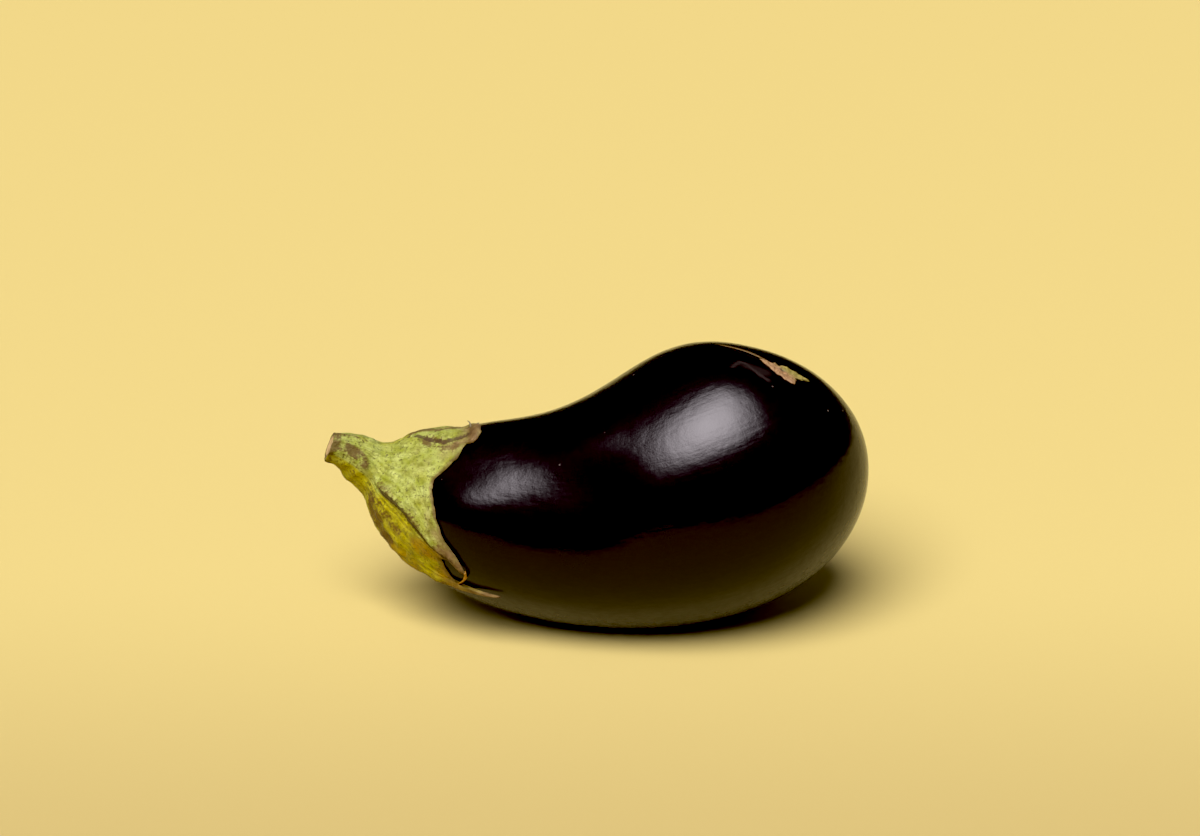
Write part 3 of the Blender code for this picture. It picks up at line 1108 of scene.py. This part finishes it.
def plain_card():
    """Pale yellow card: matt, with a faint tooth, and painted darker towards its front edge, as shade where
    the light falls off.
    """
    material, tree, shader, place = blank_material("pale_yellow_card")
    # A tooth about 1.5 mm across.
    tooth = add(tree, "TexNoise", {"Vector": place, "Scale": per_metre(1.5), "Detail": 2})
    tone = add(
        tree, "Mix", {0: tooth.outputs["Fac"], 6: shade("#ddc57e"), 7: shade("#dec780")}, data_type="RGBA"
    )
    # Painted shade: the card gets a little darker over 250 mm towards its front edge, where the light falls
    # off.
    parts = add(tree, "SeparateXYZ", {"Vector": place})
    painted_falloff = add(
        tree,
        "MapRange",
        {"Value": parts.outputs["Y"], "From Min": -0.20, "From Max": 0.05, "To Min": 1.0, "To Max": 0.0},
        interpolation_type="SMOOTHSTEP",
    )
    painted_falloff_tone = add(
        tree,
        "Mix",
        {0: painted_falloff.outputs["Result"], 6: tone.outputs[2], 7: shade("#c8b071")},
        data_type="RGBA",
    )
    feed(shader, {"Base Color": painted_falloff_tone.outputs[2], "Roughness": 0.8, "Specular IOR Level": 0.1})
    return material


# The card ends in front of the fruit, so that the gloss mirrors the dark room past its edge.
CARD_FRONT = -0.26
CARD_HALF = 5.0
CARD_LEVEL = -0.00005


def make_floor():
    mesh = bpy.data.meshes.new("floor")
    corners = (
        (-CARD_HALF, CARD_FRONT),
        (CARD_HALF, CARD_FRONT),
        (CARD_HALF, CARD_HALF),
        (-CARD_HALF, CARD_HALF),
    )
    mesh.from_pydata([(x, y, CARD_LEVEL) for x, y in corners], [], [(0, 1, 2, 3)])
    mesh.materials.append(plain_card())
    floor = bpy.data.objects.new("floor", mesh)
    bpy.context.scene.collection.objects.link(floor)


# The softbox that the gloss mirrors: discs of growing brightness towards its middle, as radius in
# metres and radiance, tilted back over the fruit.
SOFTBOX = ((0.45, 1.25), (0.40, 2.75), (0.34, 3.95), (0.27, 4.4), (0.19, 3.6), (0.11, 2.0))
SOFTBOX_CENTRE = (-0.025, -0.302, 0.744)
SOFTBOX_TILT = 17
DISC_STEP = 0.002
SOFTBOX_TINT = (1.0, 0.93, 0.98)
# The soft key that lights all else: how high and how far round to the left of the front it stands,
# its width in degrees, and its strength.
KEY_ELEVATION = 56
KEY_TURN = 20
KEY_SPREAD = 42
KEY_STRENGTH = 4.45


def make_lights():
    """A softbox for the gloss, and a soft key from the front left for all else."""
    tilt = math.radians(SOFTBOX_TILT)
    for i, (radius, radiance) in enumerate(SOFTBOX):
        lamp = bpy.data.lights.new(f"softbox_{i}", "AREA")
        lamp.shape = "DISK"
        lamp.size = 2 * radius
        lamp.energy = radiance * math.pi * (math.pi * radius**2)
        light = bpy.data.objects.new(f"softbox_{i}", lamp)
        x, y, z = SOFTBOX_CENTRE
        back = i * DISC_STEP
        light.location = (x, y - back * math.sin(tilt), z + back * math.cos(tilt))
        light.rotation_euler = (tilt, 0, 0)
        light.visible_diffuse = False
        lamp.color = SOFTBOX_TINT
        bpy.context.scene.collection.objects.link(light)
    lamp = bpy.data.lights.new("front_key", "SUN")
    lamp.energy = KEY_STRENGTH
    lamp.angle = math.radians(KEY_SPREAD)
    key = bpy.data.objects.new("front_key", lamp)
    key.rotation_euler = (math.radians(90 - KEY_ELEVATION), 0, math.radians(-KEY_TURN))
    key.visible_glossy = False
    bpy.context.scene.collection.objects.link(key)


# The room's dim soft light, in linear values.
ROOM_GLOW = (0.08, 0.076, 0.066, 1)


def make_surroundings():
    """A pale room for the camera, dim for soft light, and dark for reflections."""
    world = bpy.data.worlds.new("studio")
    world.use_nodes = True
    world.cycles.sampling_method = "NONE"
    tree = world.node_tree
    back = tree.nodes["Background"]
    seen = add(tree, "LightPath")
    soft = add(
        tree,
        "Mix",
        {0: seen.outputs["Is Diffuse Ray"], 6: shade("#1a1610"), 7: ROOM_GLOW},
        data_type="RGBA",
    )
    view = add(
        tree,
        "Mix",
        {0: seen.outputs["Is Camera Ray"], 6: soft.outputs[2], 7: shade("#efd585")},
        data_type="RGBA",
    )
    feed(back, {"Color": view.outputs[2], "Strength": 1.0})
    bpy.context.scene.world = world


BLACK_LEVEL = (0.0125, 0.0125, 0.0125)


def set_tone():
    """The photograph's tone: plain, with its deepest blacks cut."""
    view = bpy.context.scene.view_settings
    view.view_transform = "Standard"
    view.use_curve_mapping = True
    view.curve_mapping.black_level = BLACK_LEVEL
    view.curve_mapping.update()


# The camera looks down at the photograph's angle.
CAMERA_PLACE = (0.00145, -0.91549, 0.42477)
CAMERA_LOOKS_DOWN = 21


def make_camera():
    camera = bpy.data.cameras.new("camera")
    camera.lens = 85
    camera.sensor_width = 36
    camera.clip_start = 0.01
    camera.clip_end = 50
    holder = bpy.data.objects.new("camera", camera)
    holder.location = CAMERA_PLACE
    holder.rotation_euler = (math.radians(90 - CAMERA_LOOKS_DOWN), 0, 0)
    bpy.context.scene.collection.objects.link(holder)
    bpy.context.scene.camera = holder


def dress(piece, finish, slot, *nodes):
    """Gives a piece its finish and lets it ride on the part."""
    piece.data.materials.append(finish)
    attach(piece, "root")
    if nodes:
        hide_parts(*nodes)


def main():
    set_tone()
    make_camera()
    make_floor()
    make_lights()
    make_surroundings()
    dress(make_fruit(), waxy_aubergine_skin(), "skin", "fruit")
    dress(make_calyx(), felted_calyx(), "calyx", "stalk_calyx")
    dress(make_blossom_scar(), corky_scar(), "skin")
    dress(make_specks(), pale_speck(), "skin")
    dress(make_cut_pith(), cut_pith_face(), "calyx")
    long_hook, short_hook, thread = make_shreds()
    grey_shred = dried_shred("dried_grey_shred", "#3d3420", "#7d7150")
    for hook in (long_hook, short_hook):
        dress(hook, grey_shred, "calyx")
    dress(thread, dried_shred("dried_orange_shred", "#8a560e", "#b98a34"), "calyx")
    dress(make_scar_streak(), dried_shred("dried_gold_streak", "#352504", "#66490d"), "skin")


main()
